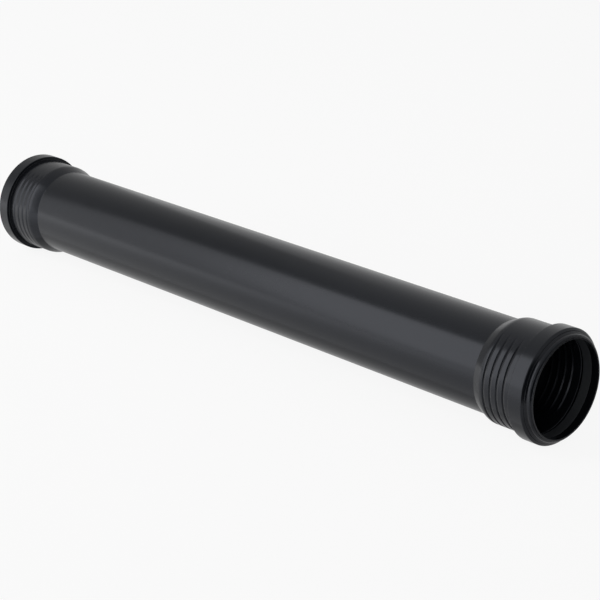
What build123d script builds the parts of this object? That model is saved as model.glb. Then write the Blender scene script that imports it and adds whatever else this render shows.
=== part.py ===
from build123d import *
from math import atan2, tan
import os

# Soil pipe of nominal size 100 with a ring-seal socket at both ends, lying on its two collars.
# X runs along the pipe and Z is up. The origin is on the ground under the middle of the pipe.
# Stations are measured inwards from the mouth of a socket, radii from the pipe's axis.

# Tube
pipe_radius = 55.0
wall = 3.6
pipe_length = 940.0

# Mouth: a short land that guides the spigot, a thin lip in front and a rounded ring behind it
socket_clearance = 0.6
mouth_land = 3.2
lip_wall = 2.0
lip_length = 1.2
lip_edge = 0.35
ring_step = 2.6
ring_face = 0.2
ring_length = 4.5

# Seal chamber, and the collar whose wall is formed over it
undercut = 2.2
chamber_depth = 6.4
chamber_length = 13.0
chamber_corner = 0.8
front_wall = 2.2
stop_wall = 2.4
stop_edge = 0.6
collar_wall = 3.6
collar_back_edge = 0.7
ledge_height = 1.9
ledge_length = 1.2
ledge_edge = 0.3

# Sloping nose between the ring and the collar, with one fine line scored round it
nose_length = 3.3
nose_round = 1.2
nose_line_height = 2.3
nose_line_size = 0.4

# Socket body, with teeth pressed into its two sides for grip: each falls in a long slope and
# rises in a short step, as a groove outside and a ridge inside. Top and bottom stay smooth.
body_wall = 3.6
rib_land = 12.1
rib_count = 4
rib_pitch = 9.1
rib_sweep = 128.0
rib_slope = 3.2
rib_step = 0.6
groove_depth = 1.0
groove_blend = 0.3
ridge_clearance = 0.4
ridge_height = 1.0
ridge_blend = 0.6

# Shoulder behind the last rib, and the flare that falls from it to the tube
shoulder_land = 3.6
shoulder_blend = 12.0
flare_length = 12.5
neck_blend = 1.0

# Rubber lip seal: a heel, an outer leg against the chamber, and a lip that leans into the bore
seal_clearance = 0.15
seal_heel = 3.4
seal_leg = 1.6
seal_lip = 1.6
seal_round = 0.4
seal_root_recess = 0.2
seal_tip_clearance = 1.1
seal_tip_thickness = 0.9
seal_tip_gap = 1.0

# Radii, from the bore outwards
bore_radius = pipe_radius - wall
mouth_radius = pipe_radius + socket_clearance
body_bore = mouth_radius + ridge_clearance + ridge_height
body_radius = body_bore + body_wall
lip_radius = mouth_radius + lip_wall
ring_radius = lip_radius + ring_step
ring_round = ring_step - ring_face
undercut_radius = mouth_radius + undercut
ledge_radius = body_radius + ledge_height
chamber_radius = mouth_radius + chamber_depth
collar_radius = chamber_radius + collar_wall

# Stations, from the mouth inwards
ring_back = lip_length + ring_length
nose_back = ring_back + nose_length
chamber_front = nose_back + front_wall
chamber_back = chamber_front + chamber_length
collar_back = chamber_back + stop_wall
ledge_back = collar_back + ledge_length
rib_stations = [collar_back + rib_land + i * rib_pitch for i in range(rib_count)]
flare_top = rib_stations[-1] + shoulder_land
flare_foot = flare_top + flare_length
flare_angle = atan2(body_radius - pipe_radius, flare_length)
inner_flare_top = flare_top - body_wall * tan(flare_angle / 2)
inner_flare_foot = flare_foot - wall * tan(flare_angle / 2)

half_length = pipe_length / 2
axis_height = collar_radius
axis_point = Vector(0, 0, axis_height)
pipe_axis = Axis(axis_point, (1, 0, 0))
section = Plane(origin=axis_point, x_dir=(1, 0, 0), z_dir=(0, -1, 0))
middle = Plane(origin=axis_point, x_dir=(0, 1, 0), z_dir=(1, 0, 0))


def at(station, radius):
    """The section's point at a station of the right socket and a radius from the pipe's axis."""
    return (half_length - station, radius)


def tooth(station, radius, depth, cover):
    """The outline of one rib on a wall, whose step stands at the station, with a cover over it."""
    return [
        at(station - rib_step - rib_slope, radius),
        at(station - rib_step, radius - depth),
        at(station, radius),
        at(station, radius + cover),
        at(station - rib_step - rib_slope, radius + cover),
    ]


def corner(shape, station, radius):
    """The corner of a section that lies nearest to a station and a radius."""
    return shape.vertices().sort_by_distance(at(station, radius))[0]


# The pipe's right half is one revolved section, from its middle to the mouth and back inside
nose_slope = nose_length / (collar_radius - ring_radius)
nose_line_station = ring_back + nose_line_height * nose_slope
rib_starts = [side - rib_sweep / 2 for side in (-90, 90)]

with BuildPart() as pipe:
    with BuildSketch(section) as pipe_section:
        with BuildLine():
            Polyline(
                (0, pipe_radius),
                at(flare_foot, pipe_radius),
                at(flare_top, body_radius),
                at(ledge_back, body_radius),
                at(ledge_back, ledge_radius),
                at(collar_back, ledge_radius),
                at(collar_back, collar_radius),
                at(nose_back, collar_radius),
                at(ring_back, ring_radius),
                at(lip_length, ring_radius),
                at(lip_length, lip_radius),
                at(0, lip_radius),
                at(0, mouth_radius),
                at(mouth_land, mouth_radius),
                at(chamber_front, undercut_radius),
                at(chamber_front, chamber_radius),
                at(chamber_back, chamber_radius),
                at(chamber_back, body_bore),
                at(inner_flare_top, body_bore),
                at(inner_flare_foot, bore_radius),
                (0, bore_radius),
                close=True,
            )
        make_face()
        with Locations(at(nose_line_station, ring_radius + nose_line_height)):
            Circle(nose_line_size, mode=Mode.SUBTRACT)
        fillet(corner(pipe_section, flare_foot, pipe_radius), neck_blend)
        fillet(corner(pipe_section, flare_top, body_radius), shoulder_blend)
        fillet(corner(pipe_section, inner_flare_foot, bore_radius), neck_blend + wall)
        fillet(corner(pipe_section, inner_flare_top, body_bore), shoulder_blend - body_wall)
        fillet(corner(pipe_section, ledge_back, ledge_radius), ledge_edge)
        fillet(corner(pipe_section, collar_back, collar_radius), collar_back_edge)
        fillet(corner(pipe_section, nose_back, collar_radius), nose_round)
        fillet(corner(pipe_section, lip_length, ring_radius), ring_round)
        fillet(corner(pipe_section, 0, lip_radius), lip_edge)
        fillet(corner(pipe_section, 0, mouth_radius), lip_edge)
        fillet(corner(pipe_section, chamber_front, chamber_radius), chamber_corner)
        fillet(corner(pipe_section, chamber_back, chamber_radius), chamber_corner)
        fillet(corner(pipe_section, chamber_back, body_bore), stop_edge)
    revolve(axis=pipe_axis)
    for start in rib_starts:
        with BuildSketch(section.rotated((start, 0, 0))) as ridges:
            for station in rib_stations:
                with BuildLine():
                    Polyline(*tooth(station, body_bore, ridge_height, body_wall / 2), close=True)
                make_face()
                fillet(corner(ridges, station - rib_step, body_bore - ridge_height), ridge_blend)
        revolve(axis=pipe_axis, revolution_arc=rib_sweep)
        with BuildSketch(section.rotated((start, 0, 0))) as grooves:
            for station in rib_stations:
                with BuildLine():
                    Polyline(*tooth(station, body_radius, groove_depth, ledge_height), close=True)
                make_face()
                fillet(corner(grooves, station - rib_step, body_radius - groove_depth), groove_blend)
        revolve(axis=pipe_axis, revolution_arc=rib_sweep, mode=Mode.SUBTRACT)
    mirror(about=middle)
pipe.part.label = "pipe"

# The lip seal is one rubber ring; its slot opens away from the mouth
seal_front = chamber_front + seal_clearance
seal_back = chamber_back - seal_clearance
seal_outer = chamber_radius - seal_clearance
heel_back = seal_front + seal_heel
seal_root = undercut_radius + seal_root_recess
seal_tip = mouth_radius + seal_tip_clearance
seal_end = chamber_back - seal_tip_gap
lip_slope = (seal_root - seal_tip) / (seal_end - seal_front)
slot_inner = seal_root - seal_heel * lip_slope + seal_lip

with BuildPart() as seal_right:
    with BuildSketch(section) as seal_section:
        with BuildLine():
            Polyline(
                at(seal_front, seal_root),
                at(seal_end, seal_tip),
                at(seal_end, seal_tip + seal_tip_thickness),
                at(heel_back, slot_inner),
                at(heel_back, seal_outer - seal_leg),
                at(seal_back, seal_outer - seal_leg),
                at(seal_back, seal_outer),
                at(seal_front, seal_outer),
                close=True,
            )
        make_face()
        fillet(corner(seal_section, seal_front, seal_root), seal_round)
        fillet(corner(seal_section, seal_end, seal_tip), seal_round)
        fillet(corner(seal_section, seal_end, seal_tip + seal_tip_thickness), seal_round)
        fillet(corner(seal_section, seal_back, seal_outer - seal_leg), seal_round)
        fillet(corner(seal_section, seal_back, seal_outer), chamber_corner)
        fillet(corner(seal_section, seal_front, seal_outer), chamber_corner)
    revolve(axis=pipe_axis)
seal_right.part.label = "seal_right"

# The left socket holds the same seal, turned to face its own mouth
with BuildPart() as seal_left:
    add(mirror(seal_right.part, about=middle, mode=Mode.PRIVATE))
seal_left.part.label = "seal_left"

os.makedirs("parts", exist_ok=True)
export_step(pipe.part, "parts/pipe.step")
export_step(seal_right.part, "parts/seal_right.step")
export_step(seal_left.part, "parts/seal_left.step")
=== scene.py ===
import math

import bpy
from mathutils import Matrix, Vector


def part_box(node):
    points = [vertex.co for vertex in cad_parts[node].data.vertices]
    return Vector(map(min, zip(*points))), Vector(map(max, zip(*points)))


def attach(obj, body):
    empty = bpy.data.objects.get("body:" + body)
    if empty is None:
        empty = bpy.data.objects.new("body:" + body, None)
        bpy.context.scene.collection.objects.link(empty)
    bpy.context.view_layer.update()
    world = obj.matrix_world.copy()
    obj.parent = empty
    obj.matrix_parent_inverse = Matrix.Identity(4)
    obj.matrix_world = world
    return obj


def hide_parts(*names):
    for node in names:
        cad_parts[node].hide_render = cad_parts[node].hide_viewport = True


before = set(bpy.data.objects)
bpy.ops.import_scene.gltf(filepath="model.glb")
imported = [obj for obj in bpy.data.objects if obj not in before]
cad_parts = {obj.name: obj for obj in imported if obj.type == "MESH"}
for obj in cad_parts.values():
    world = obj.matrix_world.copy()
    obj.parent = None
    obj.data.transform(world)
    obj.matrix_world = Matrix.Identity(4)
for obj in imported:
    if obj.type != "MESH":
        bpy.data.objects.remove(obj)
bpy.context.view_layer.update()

# Pipe
# One piece of mineral-filled polypropylene, coloured through in anthracite. The tube is extruded;
# each socket is then formed on its end while hot, with teeth pressed into both sides of its body
# and a collar blown out over the seal chamber. Nothing is fixed to it.
mm = 0.001
pipe_low, pipe_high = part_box("pipe")
half_length = (pipe_high[0] - pipe_low[0]) / 2 / mm
collar_radius = (pipe_high[2] - pipe_low[2]) / 2 / mm
axis_height = collar_radius * mm

# Radii, from the collar inwards and back out, and the walls between them
collar_wall = 3.6
chamber_depth = 6.4
socket_clearance = 0.6
wall = 3.6
rib_depth = 1.0
ridge_clearance = 0.4
ledge_height = 1.9
lip_wall = 2.0
ring_step = 2.6
undercut = 2.2
chamber_radius = collar_radius - collar_wall
mouth_radius = chamber_radius - chamber_depth
pipe_radius = mouth_radius - socket_clearance
bore_radius = pipe_radius - wall
body_bore = mouth_radius + rib_depth + ridge_clearance
body_radius = body_bore + wall
ledge_radius = body_radius + ledge_height
lip_radius = mouth_radius + lip_wall
ring_radius = lip_radius + ring_step
undercut_radius = mouth_radius + undercut

# Stations, from the mouth inwards, and the lengths between them
lip_length = 1.2
ring_length = 4.5
nose_length = 3.3
mouth_land = 3.2
front_wall = 2.2
chamber_length = 13.0
stop_wall = 2.4
ledge_length = 1.2
rib_land = 12.1
rib_count = 4
rib_pitch = 9.1
rib_slope = 3.2
rib_step = 0.6
ridge_slope = 1.9
shoulder_land = 3.6
flare_length = 12.5
ring_back = lip_length + ring_length
nose_back = ring_back + nose_length
chamber_front = nose_back + front_wall
chamber_back = chamber_front + chamber_length
collar_back = chamber_back + stop_wall
ledge_back = collar_back + ledge_length
rib_stations = [collar_back + rib_land + i * rib_pitch for i in range(rib_count)]
flare_top = rib_stations[-1] + shoulder_land
flare_foot = flare_top + flare_length
flare_angle = math.atan2(body_radius - pipe_radius, flare_foot - flare_top)
inner_flare_top = flare_top - wall * math.tan(flare_angle / 2)
inner_flare_foot = flare_foot - wall * math.tan(flare_angle / 2)

# Blends, and how far round each side the ribs are pressed
sharp = 0.15
neck_blend = 1.0
shoulder_blend = 12.0
groove_blend = 0.3
ledge_edge = 0.3
collar_edge = 0.7
nose_round = 1.2
ring_round = 2.4
lip_edge = 0.35
chamber_corner = 0.8
stop_edge = 1.1
ridge_blend = 0.6
rib_sweep = math.radians(128)
rib_runout = math.radians(14)
turn_segments = 144


def tooth(station, radius, slope, blend):
    """The three corners of a rib pressed towards the axis into a wall: it falls over the slope's
    length and rises again to the station."""
    start = station - rib_slope - rib_step
    return [
        (start, radius, sharp, radius),
        (start + slope, radius - rib_depth, blend, radius),
        (station, radius, sharp, radius),
    ]


def rounded(corners, turn_step=math.radians(20), support=0.25):
    """A closed outline of (length, radius, pressed depth) through blended corners, with support
    points where a straight run begins. A pressed corner also gives the wall it is pressed from."""
    points = []
    places = [Vector(corner[:2]) for corner in corners]
    for i, (here, corner) in enumerate(zip(places, corners)):
        before = places[i - 1]
        after = places[(i + 1) % len(places)]
        back = (before - here).normalized()
        on = (after - here).normalized()
        turn = math.pi - back.angle(on)
        blend = corner[2]
        reach = blend * math.tan(turn / 2)
        centre = here + (back + on).normalized() * blend / math.cos(turn / 2)
        start = here + back * reach - centre
        end = here + on * reach - centre
        steps = max(2, math.ceil(turn / turn_step))
        arc = [
            centre + start.slerp(end, step / steps).normalized() * blend
            for step in range(steps + 1)
        ]
        if (before - here).length > 4 * support + reach + blend:
            arc.insert(0, here + back * (reach + support))
        if (after - here).length > 4 * support + reach + blend:
            arc.append(here + on * (reach + support))
        for x, radius in arc:
            depth = max(corner[3] - radius, 0) if len(corner) == 4 else 0
            points.append((x, radius, depth))
    return points


# One fine line is scored round the nose, a little deeper than half its width
nose_slope = (nose_back - ring_back) / (collar_radius - ring_radius)
nose_run = Vector((nose_slope, 1)).normalized()
line_height = 2.3
line_half_width = 0.4
line_depth_share = 1.2
line_middle = Vector((ring_back + line_height * nose_slope, ring_radius + line_height))
line_foot = line_middle - nose_run * line_half_width
line_top = line_middle + nose_run * line_half_width
line_inwards = Vector((nose_run.y, -nose_run.x))
line_floor = line_middle + line_inwards * line_half_width * line_depth_share

socket = [(flare_foot, pipe_radius, neck_blend), (flare_top, body_radius, shoulder_blend)]
for station in reversed(rib_stations):
    socket += reversed(tooth(station, body_radius, rib_slope, groove_blend))
socket += [
    (ledge_back, body_radius, sharp),
    (ledge_back, ledge_radius, ledge_edge),
    (collar_back, ledge_radius, sharp),
    (collar_back, collar_radius, collar_edge),
    (nose_back, collar_radius, nose_round),
    (*line_top, sharp),
    (*line_floor, sharp),
    (*line_foot, sharp),
    (ring_back, ring_radius, sharp),
    (lip_length, ring_radius, ring_round),
    (lip_length, lip_radius, sharp),
    (0, lip_radius, lip_edge),
    (0, mouth_radius, lip_edge),
    (mouth_land, mouth_radius, sharp),
    (chamber_front, undercut_radius, sharp),
    (chamber_front, chamber_radius, chamber_corner),
    (chamber_back, chamber_radius, chamber_corner),
    (chamber_back, body_bore, stop_edge),
]
for station in rib_stations:
    socket += tooth(station, body_bore, ridge_slope, ridge_blend)
socket += [
    (inner_flare_top, body_bore, shoulder_blend - wall),
    (inner_flare_foot, bore_radius, neck_blend + wall),
]
right_end = [(half_length - corner[0], *corner[1:]) for corner in socket]
left_end = [(-corner[0], *corner[1:]) for corner in reversed(right_end)]


def lathe_tree():
    """A section drawn as radius against length, swept round a level axis that runs along X. Its
    pressed points keep their depth at the sides and go back to the wall above and below."""
    tree = bpy.data.node_groups.new("lathe", "GeometryNodeTree")
    tree.is_modifier = True
    for name, kind in (
        ("Section", "NodeSocketGeometry"),
        ("Segments", "NodeSocketInt"),
        ("Axis height", "NodeSocketFloat"),
        ("Path radius", "NodeSocketFloat"),
        ("Rib sweep", "NodeSocketFloat"),
        ("Rib runout", "NodeSocketFloat"),
        ("Material", "NodeSocketMaterial"),
    ):
        tree.interface.new_socket(name, in_out="INPUT", socket_type=kind)
    tree.interface.new_socket("Solid", in_out="OUTPUT", socket_type="NodeSocketGeometry")
    given = tree.nodes.new("NodeGroupInput").outputs
    section = node(tree, "GeometryNodeMeshToCurve", {"Mesh": given["Section"]})
    path = node(
        tree,
        "GeometryNodeCurvePrimitiveCircle",
        {"Resolution": given["Segments"], "Radius": given["Path radius"]},
    )
    swept = node(
        tree,
        "GeometryNodeCurveToMesh",
        {"Curve": path.outputs["Curve"], "Profile Curve": section.outputs["Curve"]},
    )
    level = node(
        tree,
        "GeometryNodeTransform",
        {"Geometry": swept.outputs["Mesh"], "Rotation": (0, math.pi / 2, 0)},
    )
    across = node(
        tree,
        "ShaderNodeVectorMath",
        {0: node(tree, "GeometryNodeInputPosition").outputs["Position"], 1: (0, 1, 1)},
        operation="MULTIPLY",
    )
    outwards = node(tree, "ShaderNodeVectorMath", {0: across.outputs[0]}, operation="NORMALIZE")
    facing = node(tree, "ShaderNodeSeparateXYZ", {"Vector": outwards.outputs[0]})
    sideways = node(tree, "ShaderNodeMath", {0: facing.outputs["Y"]}, operation="ABSOLUTE")
    angle = node(tree, "ShaderNodeMath", {0: sideways.outputs["Value"]}, operation="ARCCOSINE")
    half_sweep = node(
        tree, "ShaderNodeMath", {0: given["Rib sweep"], 1: 0.5}, operation="MULTIPLY"
    )
    full = node(
        tree,
        "ShaderNodeMath",
        {0: half_sweep.outputs["Value"], 1: given["Rib runout"]},
        operation="SUBTRACT",
    )
    lifted = node(
        tree,
        "ShaderNodeMapRange",
        {
            "Value": angle.outputs["Value"],
            "From Min": full.outputs["Value"],
            "From Max": half_sweep.outputs["Value"],
        },
        interpolation_type="SMOOTHSTEP",
    )
    pressed = node(tree, "GeometryNodeInputNamedAttribute", {"Name": "pressed"})
    rise = node(
        tree,
        "ShaderNodeMath",
        {0: pressed.outputs["Attribute"], 1: lifted.outputs["Result"]},
        operation="MULTIPLY",
    )
    push = node(
        tree,
        "ShaderNodeVectorMath",
        {0: outwards.outputs[0], "Scale": rise.outputs["Value"]},
        operation="SCALE",
    )
    ribbed = node(
        tree,
        "GeometryNodeSetPosition",
        {"Geometry": level.outputs["Geometry"], "Offset": push.outputs[0]},
    )
    lift = node(tree, "ShaderNodeCombineXYZ", {"Z": given["Axis height"]})
    laid = node(
        tree,
        "GeometryNodeTransform",
        {"Geometry": ribbed.outputs["Geometry"], "Translation": lift.outputs["Vector"]},
    )
    smooth = node(tree, "GeometryNodeSetShadeSmooth", {"Geometry": laid.outputs["Geometry"]})
    real = node(tree, "GeometryNodeRealizeInstances", {"Geometry": smooth.outputs["Geometry"]})
    coated = node(
        tree,
        "GeometryNodeSetMaterial",
        {"Geometry": real.outputs["Geometry"], "Material": given["Material"]},
    )
    node(tree, "NodeGroupOutput", {"Solid": coated.outputs["Geometry"]})
    return tree


def node(tree, kind, inputs=None, **settings):
    """Adds a node with its settings; each input is a value or the socket that feeds it."""
    new = tree.nodes.new(kind)
    for name, value in settings.items():
        setattr(new, name, value)
    for name, value in (inputs or {}).items():
        if isinstance(value, bpy.types.NodeSocket):
            tree.links.new(value, new.inputs[name])
        else:
            new.inputs[name].default_value = value
    return new


def turned(name, outline, material):
    """A solid turned about the pipe's axis from an outline of (length, radius, pressed depth)."""
    path_radius = body_radius * mm
    section = bpy.data.meshes.new(name + "_section")
    places = [(radius * mm - path_radius, -x * mm, 0) for x, radius, depth in outline]
    edges = [(i, (i + 1) % len(places)) for i in range(len(places))]
    section.from_pydata(places, edges, [])
    pressed = section.attributes.new("pressed", "FLOAT", "POINT")
    pressed.data.foreach_set("value", [depth * mm for x, radius, depth in outline])
    piece = bpy.data.objects.new(name, section)
    bpy.context.collection.objects.link(piece)
    lathe = piece.modifiers.new("lathe", "NODES")
    lathe.node_group = bpy.data.node_groups.get("lathe") or lathe_tree()
    sizes = {
        "Segments": turn_segments,
        "Axis height": axis_height,
        "Path radius": path_radius,
        "Rib sweep": rib_sweep,
        "Rib runout": rib_runout,
        "Material": material,
    }
    for entry in lathe.node_group.interface.items_tree:
        if entry.name in sizes:
            lathe[entry.identifier] = sizes[entry.name]
    settled = bpy.context.evaluated_depsgraph_get()
    solid = bpy.data.meshes.new_from_object(piece.evaluated_get(settled))
    piece.modifiers.clear()
    piece.data = solid
    return piece


def tint(code):
    """An sRGB hex colour as linear red, green, blue and alpha."""
    parts = [int(code[i:i + 2], 16) / 255 for i in (1, 3, 5)]
    return [c / 12.92 if c < 0.04045 else ((c + 0.055) / 1.055)**2.4 for c in parts] + [1]


def extruded_polypropylene():
    """Mineral-filled polypropylene off a sizing sleeve: a satin skin, drawn along the pipe in
    faint lines and slightly uneven in gloss, because the filler lies close to the surface."""
    material = bpy.data.materials.new("extruded_polypropylene")
    material.use_nodes = True
    tree = material.node_tree
    tree.nodes.clear()
    place = node(tree, "ShaderNodeTexCoord").outputs["Object"]
    line_spacing = 1.6 * mm
    line_length = 300 * mm
    drawn = node(
        tree,
        "ShaderNodeMapping",
        {"Vector": place, "Scale": (1 / line_length, 1 / line_spacing, 1 / line_spacing)},
    )
    lines = node(
        tree,
        "ShaderNodeTexNoise",
        {"Vector": drawn.outputs["Vector"], "Scale": 1.0, "Detail": 2.0, "Roughness": 0.5},
    )
    cloud_width = 22 * mm
    cloud = node(
        tree,
        "ShaderNodeTexNoise",
        {"Vector": place, "Scale": 1 / cloud_width, "Detail": 3.0, "Roughness": 0.55},
    )
    grain_width = 0.9 * mm
    grain = node(
        tree,
        "ShaderNodeTexNoise",
        {"Vector": place, "Scale": 1 / grain_width, "Detail": 1.0, "Roughness": 0.5},
    )
    colour = node(
        tree,
        "ShaderNodeMix",
        {"Factor": cloud.outputs["Fac"], "A": tint("#0f1114"), "B": tint("#131519")},
        data_type="RGBA",
    )
    gloss = node(
        tree,
        "ShaderNodeMapRange",
        {"Value": cloud.outputs["Fac"], "To Min": 0.2, "To Max": 0.24},
    )
    ripple = node(
        tree,
        "ShaderNodeBump",
        {"Height": lines.outputs["Fac"], "Strength": 0.25, "Distance": 0.02 * mm},
    )
    skin = node(
        tree,
        "ShaderNodeBump",
        {
            "Height": grain.outputs["Fac"],
            "Normal": ripple.outputs["Normal"],
            "Strength": 0.2,
            "Distance": 0.02 * mm,
        },
    )
    surface = node(
        tree,
        "ShaderNodeBsdfPrincipled",
        {
            "Base Color": colour.outputs["Result"],
            "Roughness": gloss.outputs["Result"],
            "Normal": skin.outputs["Normal"],
            "IOR": 1.49,
            "Specular IOR Level": 0.2,
            "Specular Tint": tint("#eff3ff"),
        },
    )
    node(tree, "ShaderNodeOutputMaterial", {"Surface": surface.outputs["BSDF"]})
    return material


pipe = turned("pipe_formed", rounded(right_end + left_end)[::-1], extruded_polypropylene())
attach(pipe, "root")
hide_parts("pipe")

# Lip seals
# Each socket holds one moulded EPDM ring, pushed into its chamber by hand and held there by the
# collar. Its heel lies against the front wall, its leg against the collar and its lip in the bore.
seal_clearance = 0.15
seal_heel = 3.4
seal_leg = 1.6
seal_lip = 1.6
seal_root_recess = 0.2
seal_tip_clearance = 1.1
seal_tip_gap = 2.2
seal_tip_thickness = 0.9
seal_round = 0.4
seal_front = chamber_front + seal_clearance
seal_back = chamber_back - seal_clearance
seal_outer = chamber_radius - seal_clearance
seal_inner = seal_outer - seal_leg
seal_root = undercut_radius + seal_root_recess
seal_tip = mouth_radius + seal_tip_clearance
seal_end = chamber_back - seal_tip_gap
heel_back = seal_front + seal_heel
slot_inner = seal_root - seal_heel * (seal_root - seal_tip) / (seal_end - seal_front) + seal_lip
seal_section = [
    (seal_end, seal_tip, seal_round),
    (seal_front, seal_root, seal_round),
    (seal_front, seal_outer, chamber_corner),
    (seal_back, seal_outer, chamber_corner),
    (seal_back, seal_inner, seal_round),
    (heel_back, seal_inner, sharp),
    (heel_back, slot_inner, sharp),
    (seal_end, seal_tip + seal_tip_thickness, seal_round),
]


def moulded_rubber():
    """EPDM rubber out of a steel mould: matt black, with a dull bloom in soft patches."""
    material = bpy.data.materials.new("moulded_epdm_rubber")
    material.use_nodes = True
    tree = material.node_tree
    tree.nodes.clear()
    place = node(tree, "ShaderNodeTexCoord").outputs["Object"]
    bloom_width = 8 * mm
    bloom = node(
        tree,
        "ShaderNodeTexNoise",
        {"Vector": place, "Scale": 1 / bloom_width, "Detail": 4.0, "Roughness": 0.6},
    )
    colour = node(
        tree,
        "ShaderNodeMix",
        {"Factor": bloom.outputs["Fac"], "A": tint("#1e2023"), "B": tint("#272a2e")},
        data_type="RGBA",
    )
    gloss = node(
        tree,
        "ShaderNodeMapRange",
        {"Value": bloom.outputs["Fac"], "To Min": 0.5, "To Max": 0.62},
    )
    surface = node(
        tree,
        "ShaderNodeBsdfPrincipled",
        {
            "Base Color": colour.outputs["Result"],
            "Roughness": gloss.outputs["Result"],
            "IOR": 1.5,
            "Specular IOR Level": 0.4,
        },
    )
    node(tree, "ShaderNodeOutputMaterial", {"Surface": surface.outputs["BSDF"]})
    return material


rubber = moulded_rubber()
for side, name in ((1, "seal_right"), (-1, "seal_left")):
    corners = [(half_length - station, radius, blend) for station, radius, blend in seal_section]
    outline = [(side * x, radius, depth) for x, radius, depth in rounded(corners)]
    seal = turned(name + "_moulded", outline[::side], rubber)
    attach(seal, "root")
    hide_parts(name)

# Floor and background
# A plain pale sheet under the pipe, and a white surround that the camera and gloss see as white.
floor_mesh = bpy.data.meshes.new("floor")
half_floor = 30.0
floor_mesh.from_pydata(
    [
        (-half_floor, -half_floor, 0),
        (half_floor, -half_floor, 0),
        (half_floor, half_floor, 0),
        (-half_floor, half_floor, 0),
    ],
    [],
    [(0, 1, 2, 3)],
)
floor = bpy.data.objects.new("floor", floor_mesh)
bpy.context.collection.objects.link(floor)


def white_paper(shown, mirrored):
    """Matt white paper. Shown and mirrored are the shares of plain white in what the camera and
    gloss see of it. The rest is its lit surface, which keeps the pipe's shadow."""
    material = bpy.data.materials.new("white_paper")
    material.use_nodes = True
    tree = material.node_tree
    tree.nodes.clear()
    rays = node(tree, "ShaderNodeLightPath").outputs
    gloss = node(
        tree,
        "ShaderNodeMath",
        {0: rays["Is Glossy Ray"], 1: rays["Is Transmission Ray"]},
        operation="MAXIMUM",
    )
    in_gloss = node(
        tree, "ShaderNodeMath", {0: gloss.outputs["Value"], 1: mirrored}, operation="MULTIPLY"
    )
    in_view = node(
        tree, "ShaderNodeMath", {0: rays["Is Camera Ray"], 1: shown}, operation="MULTIPLY"
    )
    white = node(
        tree,
        "ShaderNodeMath",
        {0: in_gloss.outputs["Value"], 1: in_view.outputs["Value"]},
        operation="MAXIMUM",
    )
    sheet = node(tree, "ShaderNodeBsdfDiffuse", {"Color": tint("#f2f2f2")})
    glow = node(tree, "ShaderNodeEmission", {"Color": (1, 1, 1, 1), "Strength": 1.0})
    surface = node(
        tree,
        "ShaderNodeMixShader",
        {0: white.outputs["Value"], 1: sheet.outputs["BSDF"], 2: glow.outputs["Emission"]},
    )
    node(tree, "ShaderNodeOutputMaterial", {"Surface": surface.outputs["Shader"]})
    return material


floor_mesh.materials.append(white_paper(shown=0.9, mirrored=0.62))

world = bpy.data.worlds.new("white_surround")
world.use_nodes = True
bpy.context.scene.world = world
surround = world.node_tree
surround.nodes.clear()
rays = node(surround, "ShaderNodeLightPath").outputs
seen = node(
    surround,
    "ShaderNodeMath",
    {0: rays["Is Camera Ray"], 1: rays["Is Glossy Ray"]},
    operation="MAXIMUM",
)
seen_or_through = node(
    surround,
    "ShaderNodeMath",
    {0: seen.outputs["Value"], 1: rays["Is Transmission Ray"]},
    operation="MAXIMUM",
)
ambient = 0.3
strength = node(
    surround,
    "ShaderNodeMapRange",
    {"Value": seen_or_through.outputs["Value"], "To Min": ambient, "To Max": 1.0},
)
glow = node(
    surround,
    "ShaderNodeBackground",
    {"Color": (1, 1, 1, 1), "Strength": strength.outputs["Result"]},
)
node(surround, "ShaderNodeOutputWorld", {"Surface": glow.outputs["Background"]})

# Studio lights
# Two long soft boxes beside the pipe draw the bright band along it, the rear one dimmer, and a
# small one lights the mouth.


def soft_box(name, place, aim, width, height, power):
    """A rectangular soft box that faces a point."""
    lamp = bpy.data.lights.new(name, "AREA")
    lamp.shape = "RECTANGLE"
    lamp.size = width
    lamp.size_y = height
    lamp.energy = power
    box = bpy.data.objects.new(name, lamp)
    box.location = place
    box.rotation_euler = (Vector(aim) - Vector(place)).to_track_quat("-Z", "Y").to_euler()
    bpy.context.collection.objects.link(box)


side_distance = -2.4
side_height = 1.355
side_aim_height = -0.288
side_box_height = 3.19
for name, middle, width, power in (("front_box", -1.7, 1.8, 62), ("rear_box", -5.5, 5.8, 56)):
    place = (middle, side_distance, side_height)
    aim = (middle, 0, side_aim_height)
    soft_box(name, place, aim, width, side_box_height, power)
soft_box("mouth_box", (1.7, -2.5, 1.0), (0.45, 0, 0.07), 1.4, 1.2, 8)

beside_pipe = -0.07
open_floor = -0.4


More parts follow.
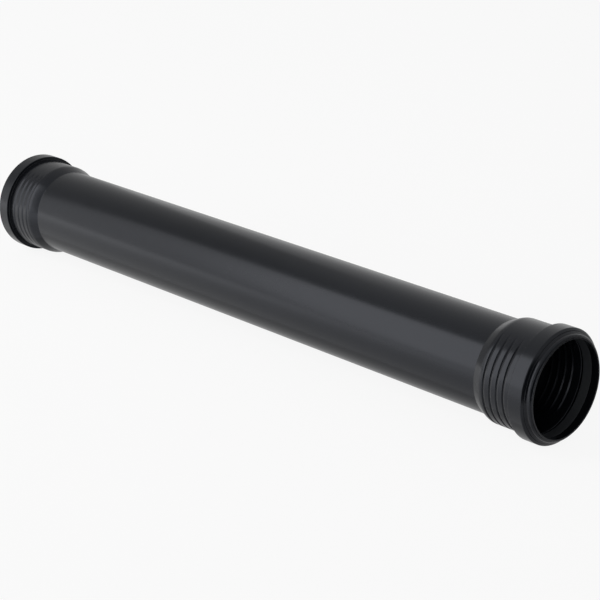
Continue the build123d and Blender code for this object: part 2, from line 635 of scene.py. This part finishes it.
def card(name, corners, near, far):
    """A flat card that only gloss sees, a painted reflection that lights nothing. Its glow goes
    from near, beside the pipe, to far, out on the open floor."""
    mesh = bpy.data.meshes.new(name)
    mesh.from_pydata(corners, [], [(0, 1, 2, 3)])
    material = bpy.data.materials.new(name)
    material.use_nodes = True
    tree = material.node_tree
    tree.nodes.clear()
    place = node(
        tree,
        "ShaderNodeSeparateXYZ",
        {"Vector": node(tree, "ShaderNodeTexCoord").outputs["Object"]},
    )
    strength = node(
        tree,
        "ShaderNodeMapRange",
        {
            "Value": place.outputs["Y"],
            "From Min": beside_pipe,
            "From Max": open_floor,
            "To Min": near,
            "To Max": far,
        },
    )
    glow = node(
        tree,
        "ShaderNodeEmission",
        {"Color": (1, 1, 1, 1), "Strength": strength.outputs["Result"]},
    )
    node(tree, "ShaderNodeOutputMaterial", {"Surface": glow.outputs["Emission"]})
    mesh.materials.append(material)
    piece = bpy.data.objects.new(name, mesh)
    piece.visible_camera = False
    piece.visible_diffuse = False
    piece.visible_shadow = False
    bpy.context.collection.objects.link(piece)


def upright(x, left, right, foot, top):
    """The corners of a card that stands across the line of the pipe."""
    return [(x, left, foot), (x, right, foot), (x, right, top), (x, left, top)]


# A black card before the mouth keeps the faces that look along the pipe as dark as in the
# photograph, a grey one behind the far end dims the flares, and a white one lies on the floor.
# These cards are painted reflections: only gloss sees them, they light nothing and cast no shadow,
# and the black and grey ones are painted shade.
card("black_reflection_card", upright(0.6, -0.25, 0.3, 0.012, 0.15), near=0, far=0)
card("grey_reflection_card", upright(-1.2, -0.5, 0.8, 0.001, 1.5), near=0.65, far=0.65)
white_left = -5
white_right = 0.64
white_front = -3.3
white_height = 0.0005
white_corners = [
    (white_left, white_front, white_height),
    (white_right, white_front, white_height),
    (white_right, beside_pipe, white_height),
    (white_left, beside_pipe, white_height),
]
# The white card's glow is weaker beside the pipe, as painted shade of the floor there as gloss
# sees it.
card("white_reflection_card", white_corners, near=1.2, far=2.9)

# Camera
# The photograph's view, from its own perspective: above and in front of the right mouth.
frame_width = 600
focal_pixels = 1802.5
camera_place = Vector((1.52805, -1.42099, 0.8232))
camera_azimuth = math.radians(45.816)
camera_elevation = math.radians(20.574)
camera_data = bpy.data.cameras.new("camera")
camera_data.sensor_width = 36.0  # mm, a full frame
camera_data.lens = focal_pixels / frame_width * camera_data.sensor_width
camera = bpy.data.objects.new("camera", camera_data)
level = math.cos(camera_elevation)
behind = Vector(
    (
        math.sin(camera_azimuth) * level,
        -math.cos(camera_azimuth) * level,
        math.sin(camera_elevation),
    )
)
camera.location = camera_place
camera.rotation_euler = behind.to_track_quat("Z", "Y").to_euler()
bpy.context.collection.objects.link(camera)
bpy.context.scene.camera = camera
bpy.context.scene.view_settings.view_transform = "Standard"
